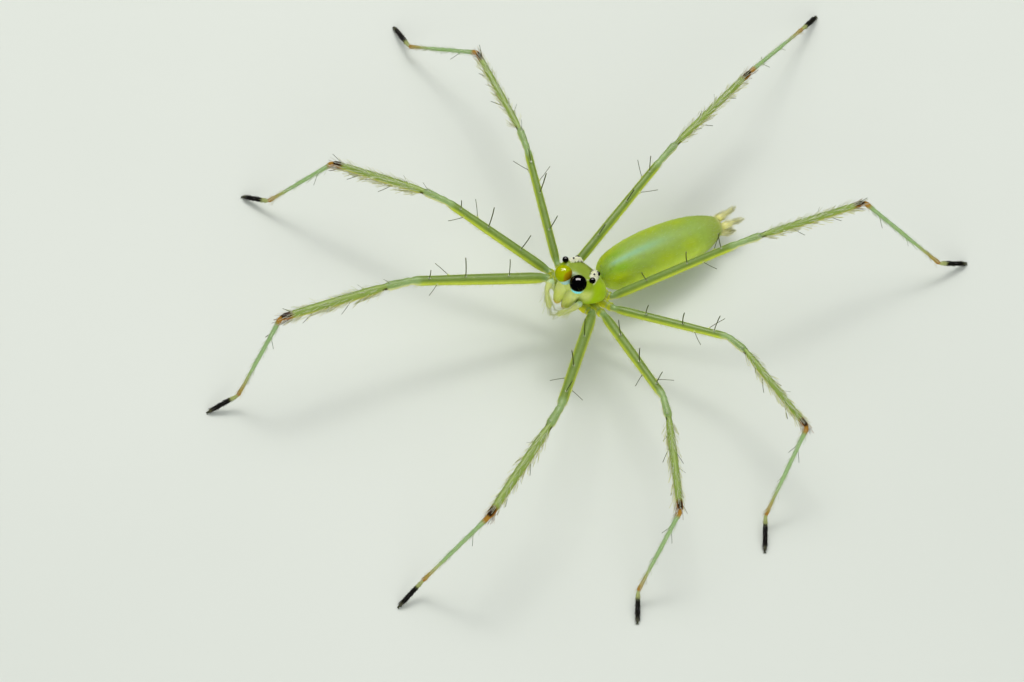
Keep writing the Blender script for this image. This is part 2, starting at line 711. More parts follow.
for row, leg_name in enumerate(LEG_POSES):
    strip = (0.02, 0.24 + 0.07 * row, 0.96, 0.055)
    own_radii = stout(LEG_RADII, PAIR_STOUTNESS[int(leg_name[-1]) - 1])
    add_tube("leg_" + leg_name, leg_joints(leg_name), own_radii, leg_tint, strip, LEG_SIDES)
print("legs:", len(LEG_POSES), "tubes of", LOFTS["leg_left_1"].count, "rings and more")

# %% [markdown]
# ## Jaws, feelers, waist and spinnerets
# The jaws are pale and milky with an amber tip. The feelers are thin, clear and bent at three
# joints. Behind, two pairs of cream spinnerets end the abdomen like a forked tail, which gives this
# spider its name.

# %% Build the small limbs
JAW_CREAM = ink(212, 222, 112)
JAW_MILK = ink(216, 226, 138)
AMBER = ink(228, 196, 84)
FEELER_CREAM = ink(204, 212, 132)
FEELER_WHITE = ink(222, 232, 178)
FEELER_BLUE = ink(190, 222, 190)
TAIL_CREAM = ink(232, 228, 150)
TAIL_EDGE = ink(206, 206, 120)
WAIST_GREEN = ink(150, 176, 50)

JAW_ROOT = (0.168, -0.80, 0.46)
JAW_TIP = (0.098, -0.80, -0.17)
JAW_RADII = (
    ((0.0, 0.100), (0.10, 0.138), (0.35, 0.150), (0.60, 0.136), (0.80, 0.104), (0.92, 0.072),
     (0.98, 0.040), (1.0, 0.01)),
)
PALP_BENDS = ((0.27, -0.60, -0.06), (0.43, -0.90, 0.29), (0.36, -1.02, 0.09), (0.10, -0.99, -0.27))
PALP_RADII = (
    ((0.0, 0.050), (0.5, 0.062), (0.92, 0.062), (1.0, 0.050)),
    ((0.0, 0.050), (0.3, 0.066), (0.85, 0.060), (1.0, 0.048)),
    ((0.0, 0.048), (0.3, 0.062), (0.7, 0.064), (0.92, 0.044), (1.0, 0.012)),
)
SPINNERETS = {
    "long": (
        ((-0.16, 0.085, 0.05), (0.42, 0.165, 0.13)),
        (((0.0, 0.080), (0.35, 0.084), (0.55, 0.072), (0.62, 0.056), (0.85, 0.042), (0.96, 0.026),
          (1.0, 0.008)),),
    ),
    "short": (
        ((-0.18, 0.120, -0.07), (0.20, 0.235, -0.09)),
        (((0.0, 0.075), (0.45, 0.080), (0.75, 0.064), (0.92, 0.042), (1.0, 0.012)),),
    ),
}
WAIST_START = (0.0, 0.58, 0.03)
WAIST_REACH = 0.10
WAIST_RADII = (((0.0, 0.085), (0.5, 0.08), (1.0, 0.085)),)


def jaw_tint(section, share, turn):
    colour = mix(JAW_MILK, JAW_CREAM, ease(share, 0.2, 0.55))
    return mix(colour, AMBER, ease(share, 0.74, 0.92) * 0.85)


def palp_tint(section, share, turn):
    colour = mix(FEELER_CREAM, FEELER_WHITE, (section == 0) * 0.9)
    bend = ease(share, 0.70, 1.0) * (section == 0) + ease(share, 0.4, 0.0) * (section == 1)
    return mix(colour, FEELER_BLUE, bend * 0.8)


def tail_tint(section, share, turn):
    return mix(TAIL_CREAM, TAIL_EDGE, ease(share, 0.35, 0.2) + 0.5 * ease(share, 0.55, 0.64))


def waist_tint(section, share, turn):
    return np.broadcast_to(WAIST_GREEN, share.shape + (3,))


for number, (side_name, mirror) in enumerate(SIDES.items()):
    jaw_path = from_chest((JAW_ROOT, JAW_TIP), mirror)
    jaw_patch = (0.02 + 0.20 * number, 0.81, 0.18, 0.08)
    add_tube("jaw_" + side_name, jaw_path, JAW_RADII, jaw_tint, jaw_patch, 24, step=0.02, softness=0)
    palp_path = from_chest(PALP_BENDS, mirror)
    palp_patch = (0.42 + 0.20 * number, 0.81, 0.18, 0.08)
    add_tube("palp_" + side_name, palp_path, PALP_RADII, palp_tint, palp_patch, 16,
             step=0.02, softness=0.03)
    tail_end = ABDOMEN_START + ABDOMEN_AXIS * ABDOMEN_LENGTH
    for row, (kind, (ends, radii)) in enumerate(SPINNERETS.items()):
        tail_path = [
            tail_end + ABDOMEN_AXIS * out + ABDOMEN_SIDE * aside * mirror + ABDOMEN_UP * rise
            for out, aside, rise in ends
        ]
        tail_patch = (0.02 + 0.20 * (2 * row + number), 0.90, 0.18, 0.04)
        add_tube(f"spinneret_{kind}_{side_name}", tail_path, radii, tail_tint, tail_patch, 14,
                 step=0.02, softness=0)
waist_path = [from_chest(WAIST_START), ABDOMEN_START + ABDOMEN_AXIS * WAIST_REACH]
waist_patch = (0.84, 0.81, 0.14, 0.08)
add_tube("waist", waist_path, WAIST_RADII, waist_tint, waist_patch, 16, step=0.03, softness=0)
print("small limbs:", sorted(name for name in LOFTS if not name.startswith("leg_")))

# %% [markdown]
# ## Finishes of the skin
# Spider skin is a thin clear shell over coloured flesh. The colour sits below the surface, so part
# of the light is scattered under it. The gloss is weak and soft, and a little sheen pales the edges.
# A fine grain breaks the colour and the gloss so that no patch is flat.

# %% The skin's material
def new_material(name):
    material = bpy.data.materials.new(name)
    material.use_nodes = True
    shader = material.node_tree.nodes["Principled BSDF"]
    return material, material.node_tree, shader


def set_sockets(node, values):
    """Sets unlinked sockets of a node, by name or number."""
    for key, value in values.items():
        node.inputs[key].default_value = value


def add_node(tree, kind, values=None, **settings):
    """A node with its settings, and its unlinked sockets by name or number."""
    node = tree.nodes.new(kind)
    for key, value in settings.items():
        setattr(node, key, value)
    set_sockets(node, values or {})
    return node


def grain(tree, scale, detail=3.0, roughness=0.5):
    """A fine noise on object coordinates. The scale is in waves to a metre, so about 10,000 of them
    give a grain of a tenth of a millimetre."""
    place = add_node(tree, "ShaderNodeTexCoord")
    sizes = {"Scale": scale, "Detail": detail, "Roughness": roughness}
    noise = add_node(tree, "ShaderNodeTexNoise", sizes)
    tree.links.new(place.outputs["Object"], noise.inputs["Vector"])
    return noise.outputs["Fac"]


def spread(tree, value, low, high):
    """A value from 0 to 1 laid between two others."""
    node = add_node(tree, "ShaderNodeMapRange", {"To Min": low, "To Max": high})
    tree.links.new(value, node.inputs["Value"])
    return node.outputs["Result"]


def tinted(tree, strength_low, strength_high, scale):
    """The colour kept at each point of the mesh, a little lighter and darker from spot to spot."""
    own = add_node(tree, "ShaderNodeAttribute", attribute_name="tint")
    change = spread(tree, grain(tree, scale), strength_low, strength_high)
    product = add_node(tree, "ShaderNodeVectorMath", operation="SCALE")
    tree.links.new(own.outputs["Color"], product.inputs[0])
    tree.links.new(change, product.inputs["Scale"])
    return product.outputs["Vector"]


def add_bump(tree, shader, height, strength, distance):
    bump = add_node(tree, "ShaderNodeBump", {"Strength": strength, "Distance": distance})
    tree.links.new(height, bump.inputs["Height"])
    tree.links.new(bump.outputs["Normal"], shader.inputs["Normal"])


SKIN_GLOW_DEPTH = 0.20 * MM
SKIN_BUMP_HEIGHT = 0.004 * MM


def make_skin_material():
    material, tree, shader = new_material("glassy green skin")
    tree.links.new(tinted(tree, 0.88, 1.12, 9000), shader.inputs["Base Color"])
    dull = add_node(tree, "ShaderNodeAttribute", attribute_name="dullness")
    uneven = add_node(tree, "ShaderNodeMath", operation="ADD")
    tree.links.new(dull.outputs["Fac"], uneven.inputs[0])
    tree.links.new(spread(tree, grain(tree, 26000), -0.07, 0.09), uneven.inputs[1])
    tree.links.new(uneven.outputs[0], shader.inputs["Roughness"])
    set_sockets(shader, {
        "Subsurface Weight": 0.55,
        "Subsurface Radius": (1.0, 1.0, 0.4),
        "Subsurface Scale": SKIN_GLOW_DEPTH,
        "IOR": 1.45,
        "Specular IOR Level": 0.16,
        "Sheen Weight": 0.15,
        "Sheen Roughness": 0.35,
        "Sheen Tint": (0.90, 1.0, 0.50, 1.0),
    })
    add_bump(tree, shader, grain(tree, 40000, 4.0), 0.25, SKIN_BUMP_HEIGHT)
    return material


SKIN = make_skin_material()
print("light goes about", SKIN_GLOW_DEPTH / MM, "mm into the skin")

# %% [markdown]
# ## One skin
# All the lofts are joined by one Boolean into one closed surface, so no seam or hidden wall is left
# where a leg leaves the chest. The joined skin stands for every solid of flesh.

# %% Join the lofts and dress the solids
def unite(name, lofts):
    """One closed surface from closed lofts, by a single Boolean on a collection."""
    base = lofts[0].object()
    base.name = name
    pieces = bpy.data.collections.new(name + "_pieces")
    bpy.context.scene.collection.children.link(pieces)
    for loft in lofts[1:]:
        piece = loft.object()
        bpy.context.scene.collection.objects.unlink(piece)
        pieces.objects.link(piece)
    union = base.modifiers.new("union", "BOOLEAN")
    union.operation = "UNION"
    union.solver = "MANIFOLD"
    union.operand_type = "COLLECTION"
    union.collection = pieces
    mesh = evaluated_mesh(base)
    base.modifiers.clear()
    base.data = mesh
    for piece in list(pieces.objects):
        bpy.data.objects.remove(piece, do_unlink=True)
    bpy.data.collections.remove(pieces)
    return base


CREASE = math.radians(28)
CREASE_PASSES = 5
CREASE_REACH = 2


def soften_creases(mesh):
    """Rounds the grooves that a Boolean leaves where two parts meet."""
    bm = bmesh.new()
    bm.from_mesh(mesh)
    creased = [e for e in bm.edges if len(e.link_faces) == 2 and e.calc_face_angle(0) > CREASE]
    near = {v for e in creased for v in e.verts}
    for _ in range(CREASE_REACH):
        near |= {e.other_vert(v) for v in near for e in v.link_edges}
    every_way = {"use_axis_x": True, "use_axis_y": True, "use_axis_z": True}
    for _ in range(CREASE_PASSES):
        bmesh.ops.smooth_vert(bm, verts=list(near), factor=0.5, **every_way)
    bm.to_mesh(mesh)
    bm.free()
    return len(near)


def repaint(mesh, lofts):
    """Gives every point of the joined skin the colour and dullness of the nearest point of a loft."""
    places = np.vstack([loft.rings.reshape(-1, 3) for loft in lofts])
    tints = np.vstack([loft.tints.reshape(-1, 3) for loft in lofts])
    dull = np.concatenate([np.full(loft.rings.size // 3, loft.rough) for loft in lofts])
    tree = KDTree(len(places))
    for number, place in enumerate(places):
        tree.insert(Vector(in_metres(place)), number)
    tree.balance()
    nearest = [tree.find(v.co)[1] for v in mesh.vertices]
    mesh.attributes["tint"].data.foreach_set("color", opaque(tints[nearest]))
    mesh.attributes["dullness"].data.foreach_set("value", dull[nearest])


all_lofts = list(LOFTS.values())
skin = unite("skin", all_lofts)
print("softened points:", soften_creases(skin.data))
repaint(skin.data, all_lofts)
skin.data.materials.clear()
skin.data.materials.append(SKIN)
skin.data.shade_smooth()
flesh = [name for name in frame["nodes"] if not name.startswith("eye_")]
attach(skin, "root")
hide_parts(*flesh)
print("skin faces:", len(skin.data.polygons))

# %% [markdown]
# ## Eyes
# Eight smooth domes. The two great ones are goggles: one looks straight at us and is black, the
# other is turned inside, so it shows the green flesh behind its retina and an amber corner. Each
# sits in a pale cup that shines blue below. The small eyes are plain black beads.

# %% Eye sizes and eye-shaped meshes
MAIN_EYE_RADIUS = 0.192
MAIN_EYE_CENTRE = (0.214, -0.975, 0.75)
# Radius, place across and along the head, and lift of the middle off the head's top
SMALL_EYES = {
    "side": (0.074, 0.390, -0.79, 0.05),
    "rear": (0.058, 0.295, -0.37, -0.02),
    "tiny": (0.024, 0.300, -0.60, 0.006),
}


def head_top(x, y):
    """The height of the solids' head over a place, in the chest's own frame."""
    half, top, under = curve_through(CHEST_SECTIONS, np.array([y]))[0]
    widest = under + CHEST_WIDEST_AT * (top - under)
    reach = max(1.0 - (abs(x) / half) ** CHEST_TOP_FULLNESS, 0.0) ** (1.0 / CHEST_TOP_FULLNESS)
    return widest + (top - widest) * reach + RIDGE_HEIGHT * float(ridge_share(np.array(x), np.array(y)))


def ball(name, centre, radius, material, detail):
    """A smooth closed ball, with its place in its mesh. The centre is in the chest's frame."""
    bm = bmesh.new()
    bmesh.ops.create_uvsphere(bm, u_segments=detail, v_segments=detail * 2 // 3, radius=radius * MM)
    bmesh.ops.translate(bm, verts=bm.verts, vec=Vector(in_metres(from_chest(centre))))
    mesh = bpy.data.meshes.new(name)
    bm.to_mesh(mesh)
    bm.free()
    mesh.materials.append(material)
    mesh.shade_smooth()
    obj = new_object(name, mesh)
    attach(obj, "root")
    return obj


def away_from(tree, centre):
    """The direction of a point from a centre in metres."""
    place = add_node(tree, "ShaderNodeTexCoord")
    offset = add_node(tree, "ShaderNodeVectorMath", {1: tuple(centre)}, operation="SUBTRACT")
    tree.links.new(place.outputs["Object"], offset.inputs[0])
    scaled = add_node(tree, "ShaderNodeVectorMath", operation="NORMALIZE")
    tree.links.new(offset.outputs["Vector"], scaled.inputs[0])
    return scaled.outputs["Vector"]


def along_aim(tree, heading, aim):
    """How far a direction goes along an aim, from -1 to 1. The aim is in the chest's frame."""
    aim = tuple(CHEST_TURN @ unit(aim))
    dot = add_node(tree, "ShaderNodeVectorMath", {1: aim}, operation="DOT_PRODUCT")
    tree.links.new(heading, dot.inputs[0])
    return dot.outputs["Value"]


def ramp(tree, value, stops):
    node = add_node(tree, "ShaderNodeValToRGB")
    bar = node.color_ramp
    while len(bar.elements) < len(stops):
        bar.elements.new(0.5)
    for element, (place, colour) in zip(bar.elements, stops):
        element.position = place
        element.color = (*colour, 1.0)
    tree.links.new(value, node.inputs["Fac"])
    return node.outputs["Color"]


def step_up(tree, value, start, end):
    """0 below start and 1 above end."""
    node = add_node(tree, "ShaderNodeMapRange", {"From Min": start, "From Max": end})
    tree.links.new(value, node.inputs["Value"])
    return node.outputs["Result"]


def blend(tree, share, below, above):
    """A colour between two, each a colour or a socket."""
    node = add_node(tree, "ShaderNodeMix", data_type="RGBA")
    tree.links.new(share, node.inputs["Factor"])
    for key, colour in (("A", below), ("B", above)):
        socket = next(i for i in node.inputs if i.name == key and i.type == "RGBA")
        if isinstance(colour, bpy.types.NodeSocket):
            tree.links.new(colour, socket)
        else:
            socket.default_value = (*colour, 1.0)
    return next(o for o in node.outputs if o.type == "RGBA")


EYE_IOR = 1.42
EYE_BLACK = ink(4, 4, 5)
EYE_GREEN = ink(174, 184, 6)
EYE_DEEP_GREEN = ink(158, 176, 8)
EYE_AMBER = ink(170, 148, 8)
EYE_TAWNY = ink(138, 104, 8)
CUP_PALE = ink(172, 200, 130)
CUP_CYAN = ink(140, 246, 252)
CUP_MIST = ink(176, 222, 220)


def bead_material():
    material, tree, shader = new_material("black eye")
    faint = ramp(tree, grain(tree, 5000), [(0.0, EYE_BLACK * 0.6), (1.0, EYE_BLACK * 1.6)])
    tree.links.new(faint, shader.inputs["Base Color"])
    set_sockets(shader, {"Roughness": 0.07, "IOR": EYE_IOR})
    return material


# The amber wedge lies between these two directions across the right great eye
WEDGE_EDGES = ((0.915, 0.023, -0.402), (0.851, 0.449, 0.269))
WEDGE_SOFTNESS = 0.20
EYE_GLOW_DEPTH = 0.04 * MM
GREEN_TOP = (-0.5, 0.2, 0.8)
TAWNY_SIDE = (1.0, 0.1, -0.1)


def green_eye_material(centre):
    """Olive green, with a wedge of amber from its middle down to the side of the other eye."""
    material, tree, shader = new_material("green eye")
    heading = away_from(tree, centre)

    def toward(aim, start, end):
        return step_up(tree, along_aim(tree, heading, aim), start, end)

    wedge = add_node(tree, "ShaderNodeMath", operation="MULTIPLY")
    for number, edge in enumerate(WEDGE_EDGES):
        tree.links.new(toward(edge, 0.0, WEDGE_SOFTNESS), wedge.inputs[number])
    green = blend(tree, toward(GREEN_TOP, -0.6, 0.6), EYE_DEEP_GREEN, EYE_GREEN)
    tawny = blend(tree, toward(TAWNY_SIDE, 0.25, 0.85), EYE_AMBER, EYE_TAWNY)
    tree.links.new(blend(tree, wedge.outputs[0], green, tawny), shader.inputs["Base Color"])
    set_sockets(shader, {
        "Roughness": 0.12,
        "IOR": EYE_IOR,
        "Specular IOR Level": 0.35,
        "Subsurface Weight": 0.50,
        "Subsurface Radius": (1.0, 0.8, 0.2),
        "Subsurface Scale": EYE_GLOW_DEPTH,
    })
    return material


def cup_material(name, centre, low, colour):
    """Pale above and shining blue below, like the rim of a real goggle eye."""
    material, tree, shader = new_material(name)
    below = step_up(tree, along_aim(tree, away_from(tree, centre), low), 0.45, 0.80)
    tree.links.new(blend(tree, below, CUP_PALE, colour), shader.inputs["Base Color"])
    tree.links.new(spread(tree, grain(tree, 30000), 0.2, 0.35), shader.inputs["Roughness"])
    return material


print("great eyes measure", 2 * MAIN_EYE_RADIUS, "mm across")

# %% Set the eyes in the head
# For each great eye: the place of its cup's middle off the lens's own, its radius, the way to
# its blue rim, and the colour of that rim
CUP_RIMS = {
    "left": ((0.012, 0.026, -0.082), 0.172, (0.44, -0.44, -0.78), CUP_CYAN),
    "right": ((0.064, 0.034, -0.073), 0.164, (0.76, -0.26, -0.60), CUP_MIST),
}
LENS_GROWTH = 0.003
LENS_OFFSETS = {"left": (-0.018, -0.018, -0.018), "right": (0.010, -0.028, -0.046)}
GREAT_EYE_DETAIL = 56
SMALL_EYE_DETAIL = 32
SMALL_EYE_INSET = 0.002
BEAD = bead_material()
for side_name, mirror in SIDES.items():
    centre = np.array(MAIN_EYE_CENTRE) * np.array([mirror, 1.0, 1.0]) + LENS_OFFSETS[side_name]
    lens = BEAD if side_name == "left" else green_eye_material(in_metres(from_chest(centre)))
    lens_radius = MAIN_EYE_RADIUS + LENS_GROWTH
    eye = ball("main_eye_" + side_name, centre, lens_radius, lens, GREAT_EYE_DETAIL)
    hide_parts("eye_main_" + side_name)
    off, cup_radius, low, colour = CUP_RIMS[side_name]
    cup_centre = centre + off
    cup_place = in_metres(from_chest(cup_centre))
    rim = cup_material("eye cup " + side_name, cup_place, low, colour)
    cup = ball("main_eye_cup_" + side_name, cup_centre, cup_radius, rim, GREAT_EYE_DETAIL)
    for kind, (radius, x, y, lift) in SMALL_EYES.items():
        place = (mirror * x, y, head_top(x, y) + lift)
        bead_radius = radius - SMALL_EYE_INSET
        eye = ball(f"{kind}_eye_{side_name}", place, bead_radius, BEAD, SMALL_EYE_DETAIL)
        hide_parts(f"eye_{kind}_{side_name}")

# %% [markdown]
# ## Bristles from one tree
# Spines, hairs and scales are all one idea: a tapered, slightly bent stalk set on the skin. One
# Geometry Nodes tree grows it. The roots are points that carry a direction, a sweep, a length, a
# colour and a place on the skin's map. The tree sets a stalk on each, realizes the copies, gives
# every stalk its own small patch of the map, and sets the material.

# %% The bristle tree
BRISTLE_INPUTS = {
    "Sides": ("NodeSocketInt", 3),
    "Joints": ("NodeSocketInt", 4),
    "Slenderness": ("NodeSocketFloat", 0.02),
    "Flatness": ("NodeSocketFloat", 1.0),
    "Tip": ("NodeSocketFloat", 0.15),
    "Bend": ("NodeSocketFloat", 0.15),
    "Patch": ("NodeSocketFloat", 0.003),
    "Material": ("NodeSocketMaterial", None),
}


def build_bristle_tree():
    tree = bpy.data.node_groups.new("bristles", "GeometryNodeTree")
    tree.interface.new_socket("Roots", in_out="INPUT", socket_type="NodeSocketGeometry")
    for label, (kind, start) in BRISTLE_INPUTS.items():
        socket = tree.interface.new_socket(label, in_out="INPUT", socket_type=kind)
        if start is not None:
            socket.default_value = start
    tree.interface.new_socket("Bristles", in_out="OUTPUT", socket_type="NodeSocketGeometry")
    source = add_node(tree, "NodeGroupInput")
    result = add_node(tree, "NodeGroupOutput")

    def link(a, b):
        tree.links.new(a, b)

    def maths(operation, a, b):
        node = add_node(tree, "ShaderNodeMath", operation=operation)
        for slot, value in ((0, a), (1, b)):
            if isinstance(value, (int, float)):
                node.inputs[slot].default_value = value
            else:
                link(value, node.inputs[slot])
        return node.outputs[0]

    def named(name, kind):
        node = add_node(tree, "GeometryNodeInputNamedAttribute", {"Name": name}, data_type=kind)
        return node.outputs["Attribute"]

    def keep(geometry, name, value, kind, domain):
        where = {"data_type": kind, "domain": domain}
        node = add_node(tree, "GeometryNodeStoreNamedAttribute", {"Name": name}, **where)
        link(geometry, node.inputs["Geometry"])
        link(value, node.inputs["Value"])
        return node.outputs["Geometry"]

    def patch_step(name):
        centred = maths("SUBTRACT", named(name, "FLOAT"), 0.5)
        return maths("MULTIPLY", centred, source.outputs["Patch"])

    stalk = add_node(tree, "GeometryNodeCurvePrimitiveLine", {"Start": (0, 0, 0), "End": (0, 0, 1)})
    jointed = add_node(tree, "GeometryNodeResampleCurve")
    link(stalk.outputs["Curve"], jointed.inputs["Curve"])
    link(source.outputs["Joints"], jointed.inputs["Count"])
    height = add_node(tree, "GeometryNodeSplineParameter").outputs["Factor"]
    lean = add_node(tree, "ShaderNodeCombineXYZ")
    link(maths("MULTIPLY", maths("MULTIPLY", height, height), source.outputs["Bend"]), lean.inputs["X"])
    bent = add_node(tree, "GeometryNodeSetPosition")
    link(jointed.outputs["Curve"], bent.inputs["Geometry"])
    link(lean.outputs["Vector"], bent.inputs["Offset"])
    marked = keep(bent.outputs["Geometry"], "rise", height, "FLOAT", "POINT")
    taper = maths("SUBTRACT", 1.0, source.outputs["Tip"])
    girth = maths("SUBTRACT", 1.0, maths("MULTIPLY", height, taper))
    thinned = add_node(tree, "GeometryNodeSetCurveRadius")
    link(marked, thinned.inputs["Curve"])
    link(girth, thinned.inputs["Radius"])
    ring = add_node(tree, "GeometryNodeCurvePrimitiveCircle", mode="RADIUS")
    link(source.outputs["Sides"], ring.inputs["Resolution"])
    link(source.outputs["Slenderness"], ring.inputs["Radius"])
    squeeze = add_node(tree, "ShaderNodeCombineXYZ", {"X": 1.0, "Z": 1.0})
    link(source.outputs["Flatness"], squeeze.inputs["Y"])
    flat = add_node(tree, "GeometryNodeTransform")
    link(ring.outputs["Curve"], flat.inputs["Geometry"])
    link(squeeze.outputs["Vector"], flat.inputs["Scale"])
    turn = add_node(tree, "GeometryNodeSplineParameter").outputs["Factor"]
    profile = keep(flat.outputs["Geometry"], "round", turn, "FLOAT", "POINT")
    swept = add_node(tree, "GeometryNodeCurveToMesh", {"Fill Caps": True})
    link(thinned.outputs["Curve"], swept.inputs["Curve"])
    link(profile, swept.inputs["Profile Curve"])
    aim = add_node(tree, "FunctionNodeAxesToRotation", primary_axis="Z", secondary_axis="X")
    link(named("lean", "FLOAT_VECTOR"), aim.inputs["Primary Axis"])
    link(named("sweep", "FLOAT_VECTOR"), aim.inputs["Secondary Axis"])
    placed = add_node(tree, "GeometryNodeInstanceOnPoints")
    link(source.outputs["Roots"], placed.inputs["Points"])
    link(swept.outputs["Mesh"], placed.inputs["Instance"])
    link(aim.outputs["Rotation"], placed.inputs["Rotation"])
    link(named("reach", "FLOAT"), placed.inputs["Scale"])
    real = add_node(tree, "GeometryNodeRealizeInstances")
    link(placed.outputs["Instances"], real.inputs["Geometry"])
    across = add_node(tree, "ShaderNodeCombineXYZ")
    link(patch_step("round"), across.inputs["X"])
    link(patch_step("rise"), across.inputs["Y"])
    spot = add_node(tree, "ShaderNodeVectorMath", operation="ADD")
    link(named("root_place", "FLOAT_VECTOR"), spot.inputs[0])
    link(across.outputs["Vector"], spot.inputs[1])
    mapped = keep(real.outputs["Geometry"], "OFBake", spot.outputs["Vector"], "FLOAT2", "CORNER")
    dressed = add_node(tree, "GeometryNodeSetMaterial")
    link(mapped, dressed.inputs["Geometry"])
    link(source.outputs["Material"], dressed.inputs["Material"])
    link(dressed.outputs["Geometry"], result.inputs["Bristles"])
    return tree


BRISTLES = build_bristle_tree()
print("bristle inputs:", list(BRISTLE_INPUTS))

# %% [markdown]
# ## Growing a coat
# A coat starts as loose points placed by rule on the lofts: how many to a section, how far round
# from the top, how long and how much they lean along the limb. A seeded draw varies each of them,
# because no two real hairs are alike.

# %% Roots and coats
HAIR_WHITE = ink(228, 232, 204)
LEAST_LIFT = 0.03


class Roots:
    """Points on the skin that each carry the facts of one bristle."""

    def __init__(self, seed):
        self.draw = np.random.default_rng(seed)
        self.rows = []

    def any_side(self, loft, count):
        """Places drawn all round a loft."""
        return self.draw.uniform(0, 1, count) * loft.sides

    def scatter(self, loft, count, start, end, reach, lift, pale):
        """Bristles strewn over a loft between two shares of its length."""
        rings = self.draw.uniform(start, end, count) * loft.count
        self.add(loft, rings, self.any_side(loft, count), reach, lift, pale=pale)

    def add(self, loft, rings, sides, reach, lift, colour=None, pale=0.0, vary=0.2, stray=0.12,
            flat=False, sink=0.012):
        """Bristles of the loft at the rings and sides given.

        lift is 1 to stand up and 0 to lie flat. The colour is the skin's own, or the one given,
        made paler by a share. A flat bristle lies with its broad side out.
        """
        count = len(rings)
        point, outward, along, tint = loft.at(rings, sides)
        reach = np.broadcast_to(reach, count) * self.draw.uniform(1 - vary, 1 + vary, count)
        lift = np.broadcast_to(lift, count) + self.draw.uniform(-vary, vary, count) / 2
        lift = np.clip(lift, LEAST_LIFT, 1.0)
        lean = outward * lift[:, None] + along * np.sqrt(1 - lift**2)[:, None]
        lean = unit(lean + self.draw.normal(0, stray, (count, 3)))
        sweep = outward if flat else along
        tint = tint if colour is None else np.broadcast_to(colour, (count, 3))
        tint = mix(tint, HAIR_WHITE, pale + np.zeros(count))
        tint = tint * self.draw.uniform(0.88, 1.12, (count, 1))
        root = point - lean * sink
        place = loft.map_place(rings, sides % loft.sides)
        self.rows.append((root, lean, sweep + lean * 0.01, reach, tint, place))

    def coat(self, name, material, slot, **sizes):
        """Grows the bristles and returns them as one plain mesh object."""
        columns = [np.concatenate(column) for column in zip(*self.rows)]
        root, lean, sweep, reach, tint, place = columns
        place = np.c_[place, np.zeros(len(place))]
        mesh = bpy.data.meshes.new(name)
        mesh.from_pydata(in_metres(root).tolist(), [], [])
        for label, values in (("lean", lean), ("sweep", sweep), ("root_place", place)):
            keep_at_points(mesh, label, "FLOAT_VECTOR", values.ravel())
        keep_at_points(mesh, "reach", "FLOAT", reach * MM)
        keep_at_points(mesh, "tint", "FLOAT_COLOR", opaque(tint))
        obj = new_object(name, mesh)
        grown = obj.modifiers.new("grow", "NODES")
        grown.node_group = BRISTLES
        wanted = dict(sizes, Material=material)
        for item in BRISTLES.interface.items_tree:
            if item.in_out == "INPUT" and item.name in wanted:
                grown[item.identifier] = wanted[item.name]
        plain = evaluated_mesh(obj)
        obj.modifiers.clear()
        obj.data = plain
        plain.name = name
        for label in ("lean", "sweep", "reach", "root_place", "rise", "round"):
            if label in plain.attributes:
                plain.attributes.remove(plain.attributes[label])
        plain.shade_smooth()
        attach(obj, "root")
        triangles = sum(len(p.vertices) - 2 for p in plain.polygons)
        print(name, "bristles:", len(root), "triangles:", triangles)


def section_rings(loft, section, shares):
    """The rings of a tube that lie at shares of one of its sections."""
    first = np.flatnonzero(loft.sections == section)[0]
    count = (loft.sections == section).sum()
    return first + np.asarray(shares, float) * count


# %% [markdown]
# ## Finishes of the coats
# Hairs are thin clear rods, so they look pale and catch the light along one side. The spines are
# brown horn. The scales on the ridges are small white flakes with a soft sheen.

# %% The coats' materials
def coat_material(name, low, high, roughness, sheen):
    material, tree, shader = new_material(name)
    tree.links.new(tinted(tree, low, high, 15000), shader.inputs["Base Color"])
    set_sockets(shader, {"Roughness": roughness, "Sheen Weight": sheen})
    return material


HAIR = coat_material("pale hair", 0.9, 1.1, 0.35, 0.3)
HORN = coat_material("brown spine", 0.8, 1.2, 0.30, 0.0)
SCALE = coat_material("white scale", 0.92, 1.05, 0.45, 0.4)
SPINE_BROWN = ink(78, 88, 26)
SCALE_WHITE = ink(252, 252, 214)
print("coat finishes:", HAIR.name, HORN.name, SCALE.name)

# %% Spines of the legs
# Share of the section, turn from the top, length from the leg's middle, lean in degrees
LEG_SPINES = {
    THIGH: ((0.29, 0, 0.75, 80), (0.61, 5, 0.82, 78), (0.88, -5, 0.68, 75), (0.72, 80, 0.52, 55),
            (0.82, -80, 0.52, 55)),
    KNEE: ((0.86, 15, 0.34, 62),),
    SHIN: ((0.30, 140, 0.46, 42), (0.34, -140, 0.46, 42), (0.66, 145, 0.44, 40),
           (0.70, -145, 0.44, 40), (0.20, 70, 0.28, 50), (0.55, -75, 0.28, 50), (0.90, 10, 0.40, 50),
           (0.93, 150, 0.30, 40)),
    ANKLE: ((0.22, 130, 0.36, 36), (0.26, -130, 0.36, 36), (0.58, 140, 0.24, 36)),
}
spines = Roots(11)
sockets = Roots(13)
for leg_name in LEG_POSES:
    leg = LOFTS["leg_" + leg_name]
    for section, marks in LEG_SPINES.items():
        share, turn, length, lean = np.array(marks, float).T
        rings = section_rings(leg, section, share)
        sides = turn / 360 * leg.sides
        body = leg.radius[rings.astype(int)]
        lift = np.sin(np.radians(lean))
        spines.add(leg, rings, sides, length - body, lift, colour=SPINE_BROWN, vary=0.03, stray=0.03)
        sockets.add(leg, rings, sides, 0.045, lift, pale=0.25, vary=0.1, stray=0.02, sink=0.018)
spines.coat("leg_spines", HORN, "thigh", Sides=5, Joints=6, Slenderness=0.018, Tip=0.12, Bend=0.06)
sockets.coat("spine_sockets", HAIR, "thigh", Sides=6, Joints=3, Slenderness=0.55, Tip=0.5, Bend=0.0)

